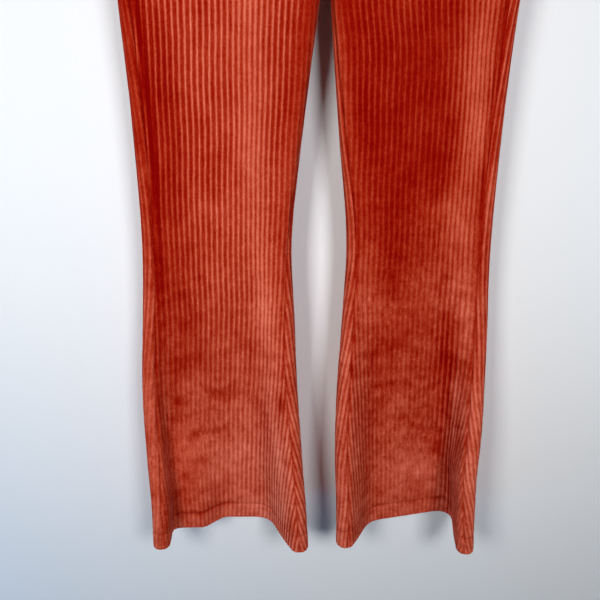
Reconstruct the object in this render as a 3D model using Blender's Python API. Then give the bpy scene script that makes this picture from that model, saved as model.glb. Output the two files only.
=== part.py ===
"""Flared pull-on leggings in wide-wale corduroy, hanging flat from the waistband.

Metres, +Z up. The front faces -Y. The origin is the middle of the waistband's top edge, where
the garment is held, so every height is a drop below it. Each piece is a wall of cloth between
two seams, cut from horizontal sections of the garment: one ring round each leg, and above the
crotch one half of the ring round the body.

"outer" is the side-seam side of a leg, "inner" the inseam side, and "across" runs from one to
the other along the cloth.
"""

import math

import bmesh
import bpy
import numpy as np

# Driving sizes
LENGTH = 1.03  # waistband's top edge to the hem
WAISTBAND = 0.045  # height of the waistband
CROTCH = 0.27  # drop of the crotch
CLOTH = 0.002  # one layer of corduroy, pile and all
LAYERS = 2  # a turned hem and a folded waistband are two layers
HEM_TURN = 0.022  # height of the turned-up hem
BAND_ROUND = 0.003  # height over which the waistband's edges are rounded
SEAM_GAP = 0.0003  # between two pieces at a seam
RISE_CURVE = 0.05  # height over which the crotch curve opens to the body's full depth

# The ring round the body: how far it reaches to each side, half its depth in the middle and at
# the side folds, how far in front of the fold the side seam lies, and how far back it hangs.
BODY = {
    "drop": (0.000, 0.045, 0.100, 0.150, 0.200, 0.250, 0.290),
    "reach_right": (0.163, 0.165, 0.190, 0.208, 0.2165, 0.2175, 0.2160),
    "reach_left": (0.163, 0.165, 0.187, 0.201, 0.2075, 0.2065, 0.2040),
    "half_depth": (0.013, 0.014, 0.016, 0.018, 0.018, 0.018, 0.018),
    "fold_depth": (0.011, 0.011, 0.012, 0.013, 0.013, 0.013, 0.013),
    "seam_in_front": (0.004, 0.006, 0.011, 0.016, 0.019, 0.021, 0.021),
    "middle_back": (0.000, 0.000, 0.001, 0.002, 0.002, 0.003, 0.003),
}

# The ring round each leg, which is a flattened tube. flat_width is its width pressed flat, and
# middle_x and middle_back say where its middle hangs. outer_turn and inner_turn are the degrees
# by which its two edges fold forward, outer_flap and inner_flap how much of the width folds, and
# whole_turn swings the whole leg's inner edge forward. The depths are half a tube's depth in the
# middle and at its two rounded edges, and the seams lie that far in front of the edges.
RIGHT_LEG = {
    "drop": (0.270, 0.340, 0.460, 0.600, 0.700, 0.800, 0.900, 0.970, 1.030),
    "flat_width": (0.231, 0.223, 0.205, 0.193, 0.206, 0.227, 0.257, 0.279, 0.296),
    "middle_x": (-0.1085, -0.1105, -0.1175, -0.1260, -0.1285, -0.1315, -0.1300, -0.1253, -0.1230),
    "middle_back": (0.003, 0.004, 0.007, 0.010, 0.014, 0.020, 0.027, 0.030, 0.033),
    "half_depth": (0.017, 0.017, 0.016, 0.015, 0.013, 0.011, 0.010, 0.009, 0.009),
    "outer_depth": (0.013, 0.013, 0.013, 0.013, 0.013, 0.012, 0.012, 0.012, 0.012),
    "inner_depth": (0.013, 0.013, 0.013, 0.013, 0.013, 0.013, 0.013, 0.013, 0.013),
    "whole_turn": (0, 0, 0, 0, 0, 0, 0, 0, 0),
    "outer_turn": (0, 4, 10, 16, 28, 50, 76, 88, 92),
    "outer_flap": (0.010, 0.014, 0.018, 0.020, 0.026, 0.034, 0.042, 0.046, 0.048),
    "inner_turn": (0, 0, 3, 8, 18, 31, 45, 54, 59),
    "inner_flap": (0.020, 0.020, 0.020, 0.030, 0.044, 0.058, 0.073, 0.083, 0.089),
    "outer_seam": (0.020, 0.021, 0.021, 0.020, 0.019, 0.016, 0.010, 0.004, 0.002),
    "inner_seam": (0.000, 0.001, 0.003, 0.008, 0.016, 0.015, 0.010, 0.008, 0.006),
}
LEFT_LEG = {
    "drop": (0.270, 0.340, 0.460, 0.600, 0.700, 0.800, 0.900, 0.970, 1.030),
    "flat_width": (0.220, 0.209, 0.197, 0.187, 0.200, 0.223, 0.260, 0.286, 0.306),
    "middle_x": (0.1030, 0.1010, 0.1050, 0.1130, 0.1150, 0.1175, 0.1270, 0.1360, 0.1420),
    "middle_back": (0.003, 0.004, 0.007, 0.011, 0.017, 0.024, 0.033, 0.037, 0.039),
    "half_depth": (0.017, 0.017, 0.016, 0.015, 0.013, 0.011, 0.010, 0.009, 0.009),
    "outer_depth": (0.013, 0.013, 0.013, 0.013, 0.013, 0.012, 0.012, 0.012, 0.012),
    "inner_depth": (0.013, 0.013, 0.013, 0.013, 0.013, 0.013, 0.013, 0.013, 0.013),
    "whole_turn": (0, 0, 0, 0, 2, 5, 9, 11, 12),
    "outer_turn": (0, 3, 8, 14, 30, 58, 88, 101, 106),
    "outer_flap": (0.010, 0.014, 0.018, 0.024, 0.036, 0.054, 0.074, 0.084, 0.092),
    "inner_turn": (0, 4, 10, 16, 24, 32, 40, 45, 47),
    "inner_flap": (0.010, 0.014, 0.018, 0.026, 0.038, 0.049, 0.058, 0.063, 0.068),
    "outer_seam": (0.020, 0.020, 0.020, 0.020, 0.019, 0.017, 0.012, 0.006, 0.002),
    "inner_seam": (0.000, 0.003, 0.010, 0.014, 0.015, 0.015, 0.014, 0.012, 0.010),
}
FLAT_SHARE = 0.35  # of a tube's half-length, how far its middle depth holds
SWELL_SHARE = 0.5  # and over how much it changes to the depth of its edge

# Where the outer part of a leg's width steps forward of the rest, more and more towards the hem.
# "at" is where the step lies across the width, from -1 at the outer edge to +1 at the inner one,
# and "over" is how much of that it takes.
STEPS = [
    {"leg": "right", "at": -0.20, "over": 0.26, "from_drop": 0.84, "forward": 0.022},
]

# Heights of the rows of faces, as spans of drop with equal steps
ROW_SPANS = [
    {"to": 0.225, "steps": 5},
    {"to": 0.270, "steps": 5},
    {"to": 0.300, "steps": 2},
    {"to": 0.660, "steps": 6},
    {"to": 1.030, "steps": 8},
]
FINE = 240  # points that a ring is measured with, before its columns are spaced out
BEND_SHARE = 0.5  # of the columns, how many are spaced by the cloth's bending

RUST_VELOUR = {"name": "rust_corduroy", "color": (0.48, 0.055, 0.022, 1.0), "roughness": 0.9}


def value(table, column, drop):
    """A column of a table at a drop, on a smooth curve through its rows."""
    drops, values = table["drop"], table[column]
    if drop <= drops[0]:
        return values[0]
    if drop >= drops[-1]:
        return values[-1]
    row = max(i for i in range(len(drops) - 1) if drops[i] <= drop)

    def slope(i):
        low, high = max(i - 1, 0), min(i + 1, len(drops) - 1)
        return (values[high] - values[low]) / (drops[high] - drops[low])

    step = drops[row + 1] - drops[row]
    t = (drop - drops[row]) / step
    return (
        (2 * t**3 - 3 * t**2 + 1) * values[row]
        + (t**3 - 2 * t**2 + t) * step * slope(row)
        + (3 * t**2 - 2 * t**3) * values[row + 1]
        + (t**3 - t**2) * step * slope(row + 1)
    )


def ease(t):
    t = np.clip(t, 0.0, 1.0)
    return t * t * (3 - 2 * t)


def tube_half_length(flat_width, end_depth):
    """Half the width of a tube with rounded ends, whose cloth measures flat_width when pressed."""
    return (flat_width - (math.pi - 2) * end_depth) / 2


def depth_profile(along, half_length, middle, outer_end, inner_end):
    """Half the depth of a flattened tube: middle at its centre, rounded off at both ends."""
    end = np.where(along < 0, outer_end, inner_end)
    swell = middle + (end - middle) * ease((abs(along) / half_length - FLAT_SHARE) / SWELL_SHARE)
    past = np.clip((abs(along) - (half_length - end)) / end, 0, 1)
    return swell * np.sqrt(1 - past**2)


def outline(x, back, tilt, depth):
    """Front and back of a section, as points, from its middle line, its tilt and half its depth."""
    forward = np.stack([np.sin(tilt), -np.cos(tilt)], axis=1) * depth[:, None]
    middle = np.stack([x, back], axis=1)
    return middle + forward, middle - forward


def leg_section(leg, drop):
    """(front, back) of a leg's ring, each from the outer edge to the inner edge."""
    table = leg["table"]
    depths = [value(table, c, drop) for c in ("half_depth", "outer_depth", "inner_depth")]
    half = tube_half_length(value(table, "flat_width", drop), (depths[1] + depths[2]) / 2)
    along = -half * np.cos(np.linspace(0, math.pi, FINE))
    outer_at = -half + value(table, "outer_flap", drop)
    inner_at = half - value(table, "inner_flap", drop)
    outer_turn = math.radians(value(table, "outer_turn", drop))
    inner_turn = math.radians(value(table, "inner_turn", drop))
    tilt = outer_turn * (1 - ease((along - outer_at) / leg["outer_bend"] + 0.5))
    tilt = tilt - inner_turn * ease((along - inner_at) / leg["inner_bend"] + 0.5)
    tilt = tilt - math.radians(value(table, "whole_turn", drop))
    step = np.diff(along)
    centre = (tilt[1:] + tilt[:-1]) / 2
    x = np.concatenate([[0], np.cumsum(np.cos(centre) * step)])
    back = np.concatenate([[0], np.cumsum(np.sin(centre) * step)])
    x -= np.interp(0, along, x)
    back -= np.interp(0, along, back)
    for fold in STEPS:
        if fold["leg"] == leg["name"]:
            grown = ease((drop - fold["from_drop"]) / (LENGTH - fold["from_drop"]))
            beyond = 1 - ease((along / half - fold["at"]) / fold["over"] + 0.5)
            back -= fold["forward"] * grown * beyond
    front, rear = outline(x, back, tilt, depth_profile(along, half, *depths))
    place = np.array([value(table, "middle_x", drop), value(table, "middle_back", drop)])
    mirror = np.array([leg["side"] * -1, 1])
    return front * mirror + place, rear * mirror + place


def body_section(leg, drop):
    """(front, back) of one half of the body's ring, each from the side fold to the centre."""
    reach, half_depth, fold_depth = (
        value(BODY, c, drop) for c in (f"reach_{leg['name']}", "half_depth", "fold_depth")
    )
    along = -reach * np.cos(np.linspace(0, math.pi / 2, FINE))
    depth = depth_profile(along, reach, half_depth, fold_depth, fold_depth)
    back = np.full(FINE, value(BODY, "middle_back", drop))
    front, rear = outline(-along, back, np.zeros(FINE), depth)
    mirror = np.array([leg["side"], 1])
    return front * mirror, rear * mirror


def arc_lengths(points):
    return np.concatenate([[0], np.cumsum(np.linalg.norm(np.diff(points, axis=0), axis=1))])


def between_seams(piece, front, back, outer_seam, inner_seam):
    """A path along a section, and where on it one panel starts and ends, at its two seams.

    A front panel lies on the front alone. A back panel also runs round the outer fold, and, where
    the inner seam lies in front, round the inner one.
    """
    if piece == "front":
        return front, outer_seam + SEAM_GAP / 2, arc_lengths(front)[-1] - inner_seam - SEAM_GAP / 2
    path = np.concatenate([front[::-1], back[1:]])
    start = arc_lengths(front)[-1] - outer_seam + SEAM_GAP / 2
    end = arc_lengths(path)[-1] + inner_seam - SEAM_GAP / 2
    if inner_seam > 0:
        path = np.concatenate([path, front[-2::-1]])
    return path, start, end


def column_shares(path, start, end, columns):
    """Where columns lie along a path, as shares of it, closer together where the path bends."""
    length = arc_lengths(path)
    at = np.linspace(start, end, FINE)
    tangent = np.gradient(np.stack([np.interp(at, length, path[:, k]) for k in (0, 1)]), axis=1)
    bend = abs(np.diff(np.unwrap(np.arctan2(tangent[1], tangent[0]))))
    weight = (1 - BEND_SHARE) / (FINE - 1) + BEND_SHARE * bend / max(bend.sum(), 1e-9)
    passed = np.concatenate([[0], np.cumsum(weight)])
    return np.interp(np.linspace(0, passed[-1], columns), passed, np.linspace(0, 1, FINE))


def spaced(path, start, end, shares):
    """Points and tangents along a path, at shares of the way from its start to its end."""
    length = arc_lengths(path)
    at = start + shares * (end - start)
    tangent = np.gradient(path, length, axis=0)
    return tuple(
        np.stack([np.interp(at, length, curve[:, k]) for k in (0, 1)], axis=1)
        for curve in (path, tangent)
    )


def outward(tangent, piece, leg):
    """Unit normals that point out of the garment, turned from the tangents of a section."""
    turn = leg["side"] if piece == "front" else -leg["side"]
    normal = np.stack([-tangent[:, 1], tangent[:, 0]], axis=1) * turn
    return normal / np.linalg.norm(normal, axis=1)[:, None]


def panel_row(piece, leg, drop, columns):
    """Points and outward normals of one row of a panel, from its outer seam to its inner one."""
    seams = [value(leg["table"], c, drop) for c in ("outer_seam", "inner_seam")]
    path = between_seams(piece, *leg_section(leg, drop), *seams)
    shares = column_shares(*path, columns)
    points, tangent = spaced(*path, shares)
    normal = outward(tangent, piece, leg)
    if drop >= CROTCH:
        return points, normal
    path = between_seams(piece, *body_section(leg, drop), value(BODY, "seam_in_front", drop), 0.0)
    body_points, body_tangent = spaced(*path, shares)
    body_normal = outward(body_tangent, piece, leg)
    height = min((CROTCH - drop) / RISE_CURVE, 1.0)
    opened = math.sqrt(1 - (1 - height) ** 2)
    points = points + opened * (body_points - points)
    normal = normal + opened * (body_normal - normal)
    return points, normal / np.linalg.norm(normal, axis=1)[:, None]


def row_drops(start):
    """Drops of the rows of a panel, from its top edge to the hem."""
    drops = [start]
    for span in ROW_SPANS:
        drops.extend(np.linspace(drops[-1], span["to"], span["steps"] + 1)[1:])
    turn = LENGTH - HEM_TURN
    return sorted({round(float(d), 5) for d in drops} | {turn, turn + CLOTH})


def thickness(drop):
    """A panel is one layer of cloth, and two where the hem is turned up."""
    return CLOTH * (LAYERS if drop > LENGTH - HEM_TURN + CLOTH / 2 else 1)


def sheet(bm, rows):
    """A grid of cloth through rows of points, each row a (drop, points) pair, from the top down."""
    columns = len(rows[0][1])
    grid = bmesh.ops.create_grid(bm, x_segments=columns - 1, y_segments=len(rows) - 1, size=0.5)
    for vert in grid["verts"]:
        drop, points = rows[round((0.5 - vert.co.y) * (len(rows) - 1))]
        x, back = points[round((0.5 + vert.co.x) * (columns - 1))]
        vert.co = (x, back, -drop)


def wall(name, outside, inside, material):
    """A closed wall of cloth: its outer and inner sheets, joined all round their edges."""
    bm = bmesh.new()
    sheet(bm, outside)
    sheet(bm, inside)
    rims = [edge for edge in bm.edges if edge.is_boundary]
    bmesh.ops.bridge_loops(bm, edges=rims)
    bmesh.ops.recalc_face_normals(bm, faces=bm.faces)
    mesh = bpy.data.meshes.new(name)
    bm.to_mesh(mesh)
    bm.free()
    mesh.materials.append(material)
    mesh.shade_smooth()
    mesh.set_sharp_from_angle(angle=math.radians(50))
    piece = bpy.data.objects.new(name, mesh)
    bpy.context.scene.collection.objects.link(piece)


def leg_panel(piece, leg, columns, material):
    outside, inside = [], []
    for drop in row_drops(WAISTBAND + SEAM_GAP):
        points, normal = panel_row(piece, leg, drop, columns)
        outside.append((drop, points))
        inside.append((drop, points - normal * thickness(drop)))
    wall(f"{piece}_{leg['name']}", outside, inside, material)


def waistband_part(piece, columns, material):
    """The front or the back of the waistband: a folded band of two layers, from side to side."""
    outside, inside = [], []
    for drop in (0.0, BAND_ROUND, WAISTBAND / 2, WAISTBAND - BAND_ROUND, WAISTBAND):
        halves = []
        for leg in LEGS:
            seam = value(BODY, "seam_in_front", drop)
            path, start, end = between_seams(piece, *body_section(leg, drop), seam, 0.0)
            end += SEAM_GAP / 2
            points, tangent = spaced(path, start, end, column_shares(path, start, end, columns))
            halves.append((points, outward(tangent, piece, leg)))
        points, normal = (
            np.concatenate([halves[0][k], halves[1][k][-2::-1]]) for k in (0, 1)
        )
        rounded = BAND_ROUND / 4 if drop in (0.0, WAISTBAND) else 0.0
        outside.append((drop, points - normal * rounded))
        inside.append((drop, points - normal * (LAYERS * CLOTH - rounded)))
    wall(f"waistband_{piece}", outside, inside, material)


def corduroy():
    material = bpy.data.materials.new(RUST_VELOUR["name"])
    material.use_nodes = True
    shader = material.node_tree.nodes["Principled BSDF"]
    shader.inputs["Base Color"].default_value = RUST_VELOUR["color"]
    shader.inputs["Roughness"].default_value = RUST_VELOUR["roughness"]
    shader.inputs["Metallic"].default_value = 0.0
    material.diffuse_color = RUST_VELOUR["color"]
    return material


# A bend is the width of cloth over which an edge turns forward
LEGS = [
    {"name": "right", "side": -1, "table": RIGHT_LEG, "outer_bend": 0.042, "inner_bend": 0.055},
    {"name": "left", "side": 1, "table": LEFT_LEG, "outer_bend": 0.066, "inner_bend": 0.055},
]
FRONT_COLUMNS = 16
BACK_COLUMNS = 20
WAISTBAND_COLUMNS = 12


def main():
    for old in list(bpy.data.objects):
        bpy.data.objects.remove(old)
    material = corduroy()
    for leg in LEGS:
        leg_panel("front", leg, FRONT_COLUMNS, material)
        leg_panel("back", leg, BACK_COLUMNS, material)
    for piece in ("front", "back"):
        waistband_part(piece, WAISTBAND_COLUMNS, material)


main()
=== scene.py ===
"""Flared leggings in rust wide-wale velour corduroy, hanging flat in front of a white wall.

Metres, +Z up, the front faces -Y, and the origin is the middle of the waistband's top edge.
"outer" is the side-seam side of a leg and "inner" the inseam side. "across" is measured along the
cloth from the panel's grain line, towards the inseam, and "drop" down from the waistband's top.
"""

import math

import bmesh
import bpy
import numpy as np
from mathutils import Matrix, Vector


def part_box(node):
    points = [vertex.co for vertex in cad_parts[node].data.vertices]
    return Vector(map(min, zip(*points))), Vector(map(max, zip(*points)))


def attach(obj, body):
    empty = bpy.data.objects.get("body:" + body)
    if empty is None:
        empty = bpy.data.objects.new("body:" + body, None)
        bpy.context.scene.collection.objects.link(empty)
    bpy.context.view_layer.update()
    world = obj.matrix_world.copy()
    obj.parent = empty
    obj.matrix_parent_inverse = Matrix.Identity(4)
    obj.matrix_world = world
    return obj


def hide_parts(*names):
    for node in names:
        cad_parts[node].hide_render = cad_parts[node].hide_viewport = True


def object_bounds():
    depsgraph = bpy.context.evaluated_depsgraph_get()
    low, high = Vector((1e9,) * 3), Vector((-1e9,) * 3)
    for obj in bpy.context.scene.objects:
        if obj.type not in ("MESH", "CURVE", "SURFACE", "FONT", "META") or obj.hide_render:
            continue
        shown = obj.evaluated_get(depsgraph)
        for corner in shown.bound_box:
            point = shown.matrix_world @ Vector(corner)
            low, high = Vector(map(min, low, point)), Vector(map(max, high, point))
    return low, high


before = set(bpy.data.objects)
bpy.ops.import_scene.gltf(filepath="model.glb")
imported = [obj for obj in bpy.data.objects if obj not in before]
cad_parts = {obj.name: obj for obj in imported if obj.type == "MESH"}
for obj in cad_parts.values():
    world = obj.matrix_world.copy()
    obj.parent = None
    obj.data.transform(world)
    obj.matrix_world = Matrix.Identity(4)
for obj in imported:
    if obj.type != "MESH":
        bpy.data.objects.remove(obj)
CAD_BOX = [list(corner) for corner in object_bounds()]
MM = 0.001

# Sizes of the garment, as in its solids
LENGTH = -CAD_BOX[0][2]  # waistband's top edge to the hem
WAISTBAND = -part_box("waistband_front")[0].z
CROTCH = 0.27  # drop of the crotch
RISE_CURVE = 0.05  # height over which the crotch curve opens to the body's full depth
CLOTH = 0.002  # one layer of corduroy
LAYERS = 2  # a turned hem and a folded waistband are two layers

# The ring round the body: how far it reaches to each side, half its depth in the middle and at
# the side folds, how far in front of the fold the side seam lies, and how far back it hangs.
BODY = {
    "drop": (0.000, 0.045, 0.100, 0.150, 0.200, 0.250, 0.290),
    "reach_right": (0.163, 0.165, 0.190, 0.208, 0.2165, 0.2175, 0.2160),
    "reach_left": (0.163, 0.165, 0.187, 0.201, 0.2075, 0.2065, 0.2040),
    "half_depth": (0.013, 0.014, 0.016, 0.018, 0.018, 0.018, 0.018),
    "fold_depth": (0.011, 0.011, 0.012, 0.013, 0.013, 0.013, 0.013),
    "seam_in_front": (0.004, 0.006, 0.011, 0.016, 0.019, 0.021, 0.021),
    "middle_back": (0.000, 0.000, 0.001, 0.002, 0.002, 0.003, 0.003),
}

# The ring round each leg, a flattened tube whose two edges fold forward towards the hem. Both
# legs are equally deep. The flaps are the parts that turn forward, by so many degrees.
LEG_DEPTHS = {
    "drop": (0.270, 0.340, 0.460, 0.600, 0.700, 0.800, 0.900, 0.970, 1.030),
    "half_depth": (0.017, 0.017, 0.016, 0.015, 0.013, 0.011, 0.010, 0.009, 0.009),
    "outer_depth": (0.013, 0.013, 0.013, 0.013, 0.013, 0.012, 0.012, 0.012, 0.012),
    "inner_depth": (0.013,) * 9,
}
RIGHT_LEG = {
    **LEG_DEPTHS,
    "flat_width": (0.231, 0.223, 0.205, 0.193, 0.206, 0.227, 0.257, 0.279, 0.296),
    "middle_x": (-0.1085, -0.1105, -0.1175, -0.1260, -0.1285, -0.1315, -0.1300, -0.1253, -0.1230),
    "middle_back": (0.003, 0.004, 0.007, 0.010, 0.014, 0.020, 0.027, 0.030, 0.033),
    "whole_turn": (0,) * 9,
    "outer_turn": (0, 4, 10, 16, 28, 50, 76, 88, 92),
    "outer_flap": (0.010, 0.014, 0.018, 0.020, 0.026, 0.034, 0.042, 0.046, 0.048),
    "inner_turn": (0, 0, 3, 8, 18, 31, 45, 54, 59),
    "inner_flap": (0.020, 0.020, 0.020, 0.030, 0.044, 0.058, 0.073, 0.083, 0.089),
    "outer_seam": (0.020, 0.021, 0.021, 0.020, 0.019, 0.016, 0.010, 0.004, 0.002),
    "inner_seam": (0.000, 0.001, 0.003, 0.008, 0.016, 0.015, 0.010, 0.008, 0.006),
}
LEFT_LEG = {
    **LEG_DEPTHS,
    "flat_width": (0.220, 0.209, 0.197, 0.187, 0.200, 0.223, 0.260, 0.286, 0.306),
    "middle_x": (0.1030, 0.1010, 0.1050, 0.1130, 0.1150, 0.1175, 0.1270, 0.1360, 0.1420),
    "middle_back": (0.003, 0.004, 0.007, 0.011, 0.017, 0.024, 0.033, 0.037, 0.039),
    "whole_turn": (0, 0, 0, 0, 2, 5, 9, 11, 12),
    "outer_turn": (0, 3, 8, 14, 30, 58, 88, 101, 106),
    "outer_flap": (0.010, 0.014, 0.018, 0.024, 0.036, 0.054, 0.074, 0.084, 0.092),
    "inner_turn": (0, 4, 10, 16, 24, 32, 40, 45, 47),
    "inner_flap": (0.010, 0.014, 0.018, 0.026, 0.038, 0.049, 0.058, 0.063, 0.068),
    "outer_seam": (0.020, 0.020, 0.020, 0.020, 0.019, 0.017, 0.012, 0.006, 0.002),
    "inner_seam": (0.000, 0.003, 0.010, 0.014, 0.015, 0.015, 0.014, 0.012, 0.010),
}
FLAT_SHARE = 0.35  # of a tube's half-length, how far its middle depth holds
SWELL_SHARE = 0.5  # and over how much it changes to the depth of its edge

# The step in one hem: its place and width as shares of half the tube's width, where up the leg it
# starts, and how far forward the cloth on its outer side comes
STEP = {"leg": "right", "at": -0.20, "over": 0.26, "from_drop": 0.84, "forward": 0.022}

# A bend is the width of cloth over which an edge turns forward. The grain line leans out.
LEGS = [
    {"name": "right", "side": -1, "table": RIGHT_LEG, "outer_bend": 0.042, "inner_bend": 0.055,
     "grain_x": -0.1087, "grain_lean": -0.0478},
    {"name": "left", "side": 1, "table": LEFT_LEG, "outer_bend": 0.066, "inner_bend": 0.055,
     "grain_x": 0.1050, "grain_lean": 0.0478},
]
GRAIN_DROP = 0.34  # where the grain line crosses grain_x

# The cord
WALE = 0.00635  # wide wale, 4 to the inch
GROOVE = 0.0009  # how far the groove between two wales lies below their crowns
GROOVE_POWER = 2.2  # the higher, the narrower the groove between the rounded ribs
CRUSHED_SHARE = 0.5  # of a wale's height, lost where its pile is crushed flat
SEAM_SHARE = 0.6  # lost at a seam
EDGE_SHARE = 0.7  # lost at a folded edge
WAVER = 0.0003  # how far the wales waver to each side
WAVER_LENGTH = 0.11  # and the height of one such wave
WAVER_SLIDE = 4  # waves that it slides by in a metre across the cloth

# Seams, edges and the hem's row of lockstitch
SEAM_DIP = 0.0013  # how far the cloth sinks at a seam
SEAM_REACH = 0.002  # and over what width
WAIST_SEAM_SHARE = 0.7  # of that dip, at the waist seam
EDGE_ROUND = 0.95  # how much of a quarter circle a folded edge follows before it closes
EDGE_BAND = 0.012  # beside a seam or edge, where the waver and the gathers grow to their full size
HEM_TURN = 0.028  # height of the turned-up hem
STITCH_DROP = LENGTH - HEM_TURN + 0.0012  # just inside the turn's edge
STITCH_DIP = 0.0008  # how far the stitches pull the cloth in
STITCH_REACH = 0.0012
STITCH_LENGTH = 0.0026
STITCH_PITCH = 0.0038
THREAD = 0.0004  # radius
THREAD_PROUD = 0.6  # of that radius, how far a stitch's middle stands out of the pile

# The cloth's grid
FINE = 480  # points that a row of cloth is measured with
COLUMN = WALE / 6  # so that each wale has a crown, sides and a groove
ROW_STEP = 0.0055
WAIST_ROWS = (0, 0.0008, 0.002, 0.0035)  # below the waist seam
STITCH_ROWS = (-0.001, 0, 0.001, 0.002, 0.0035)  # from the stitches down
HEM_ROWS = (0.018, 0.013, 0.008, 0.004, 0.002, 0.0012, 0.0005, 0)  # above the hem's fold
BAND_EDGE_ROWS = (0.0, 0.0004, 0.001, 0.002)  # from each edge of the waistband
BAND_MARGIN = 0.004  # from those edges, where evenly spaced rows begin
BAND_ROWS = 13

# How much darker the pile is along seams and stitches, where it is pressed flat and painted shade
# fills their furrows, over what width, and how much painted light lies on top of a gather
SEAM_TONE = 0.2
WAIST_SEAM_TONE = 0.22
STITCH_TONE = 0.12
LINE_REACH = 0.0016
GATHER_PAINTED_LIGHT = 0.10

# How each panel's pile lies as a whole, by drop: tone lightens it, and is partly painted light, as
# it rises towards the hems for the painted sheen of pile seen more from the side, and the left
# front is kept darker, partly with painted shade for the light falling off across it. brushed opens
# the wales until only the groove between two is dark, a painted sheen of pile laid towards the
# light; crushed flattens it to a smooth nap without wales, and worn mottles it, as towards the
# hems, where tufts lean every way.
PILE = {
    "front_right": {
        "drop": (0.04, 0.34, 0.44, 0.52, 0.60, 0.67, 0.74, 0.82, 0.89, 0.95, 1.03),
        "tone": (0.02, 0.10, 0.07, 0.07, 0.10, 0.12, 0.11, 0.14, 0.26, 0.27, 0.28),
        "brushed_sheen": (0.10, 0.10, 0.10, 0.14, 0.18, 0.20, 0.22, 0.28, 0.32, 0.35, 0.35),
        "crushed": (0.00, 0.00, 0.08, 0.12, 0.18, 0.25, 0.40, 0.55, 0.62, 0.58, 0.52),
        "worn": (0.0, 0.0, 0.0, 0.1, 0.25, 0.4, 0.55, 0.62, 0.60, 0.60, 0.60),
    },
    "front_left": {
        "drop": (0.04, 0.34, 0.44, 0.52, 0.60, 0.67, 0.74, 0.82, 0.89, 0.95, 1.03),
        "tone": (-0.06, -0.18, -0.21, -0.24, -0.16, 0.00, -0.04, 0.03, 0.10, 0.13, 0.22),
        "brushed_sheen": (0.10, 0.10, 0.12, 0.14, 0.18, 0.20, 0.22, 0.28, 0.32, 0.35, 0.35),
        "crushed": (0.35, 0.46, 0.48, 0.58, 0.66, 0.78, 0.74, 0.70, 0.68, 0.66, 0.62),
        "worn": (0.0, 0.0, 0.1, 0.2, 0.40, 0.7, 0.8, 0.9, 0.9, 0.8, 0.7),
    },
    "back": {
        "drop": (0.04, 0.34, 0.60, 0.85, 1.03),
        "tone": (0.00, 0.00, 0.06, 0.20, 0.26),
        "brushed_sheen": (0.15, 0.15, 0.20, 0.35, 0.40),
        "crushed": (0.15, 0.20, 0.35, 0.55, 0.50),
        "worn": (0.0, 0.0, 0.3, 0.7, 0.7),
    },
    "waistband": {
        "drop": (0.0, 0.045),
        "tone": (0.05, -0.03),
        "brushed_sheen": (0.35, 0.20),
        "crushed": (0.15, 0.25),
        "worn": (0.0, 0.0),
    },
}
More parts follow.
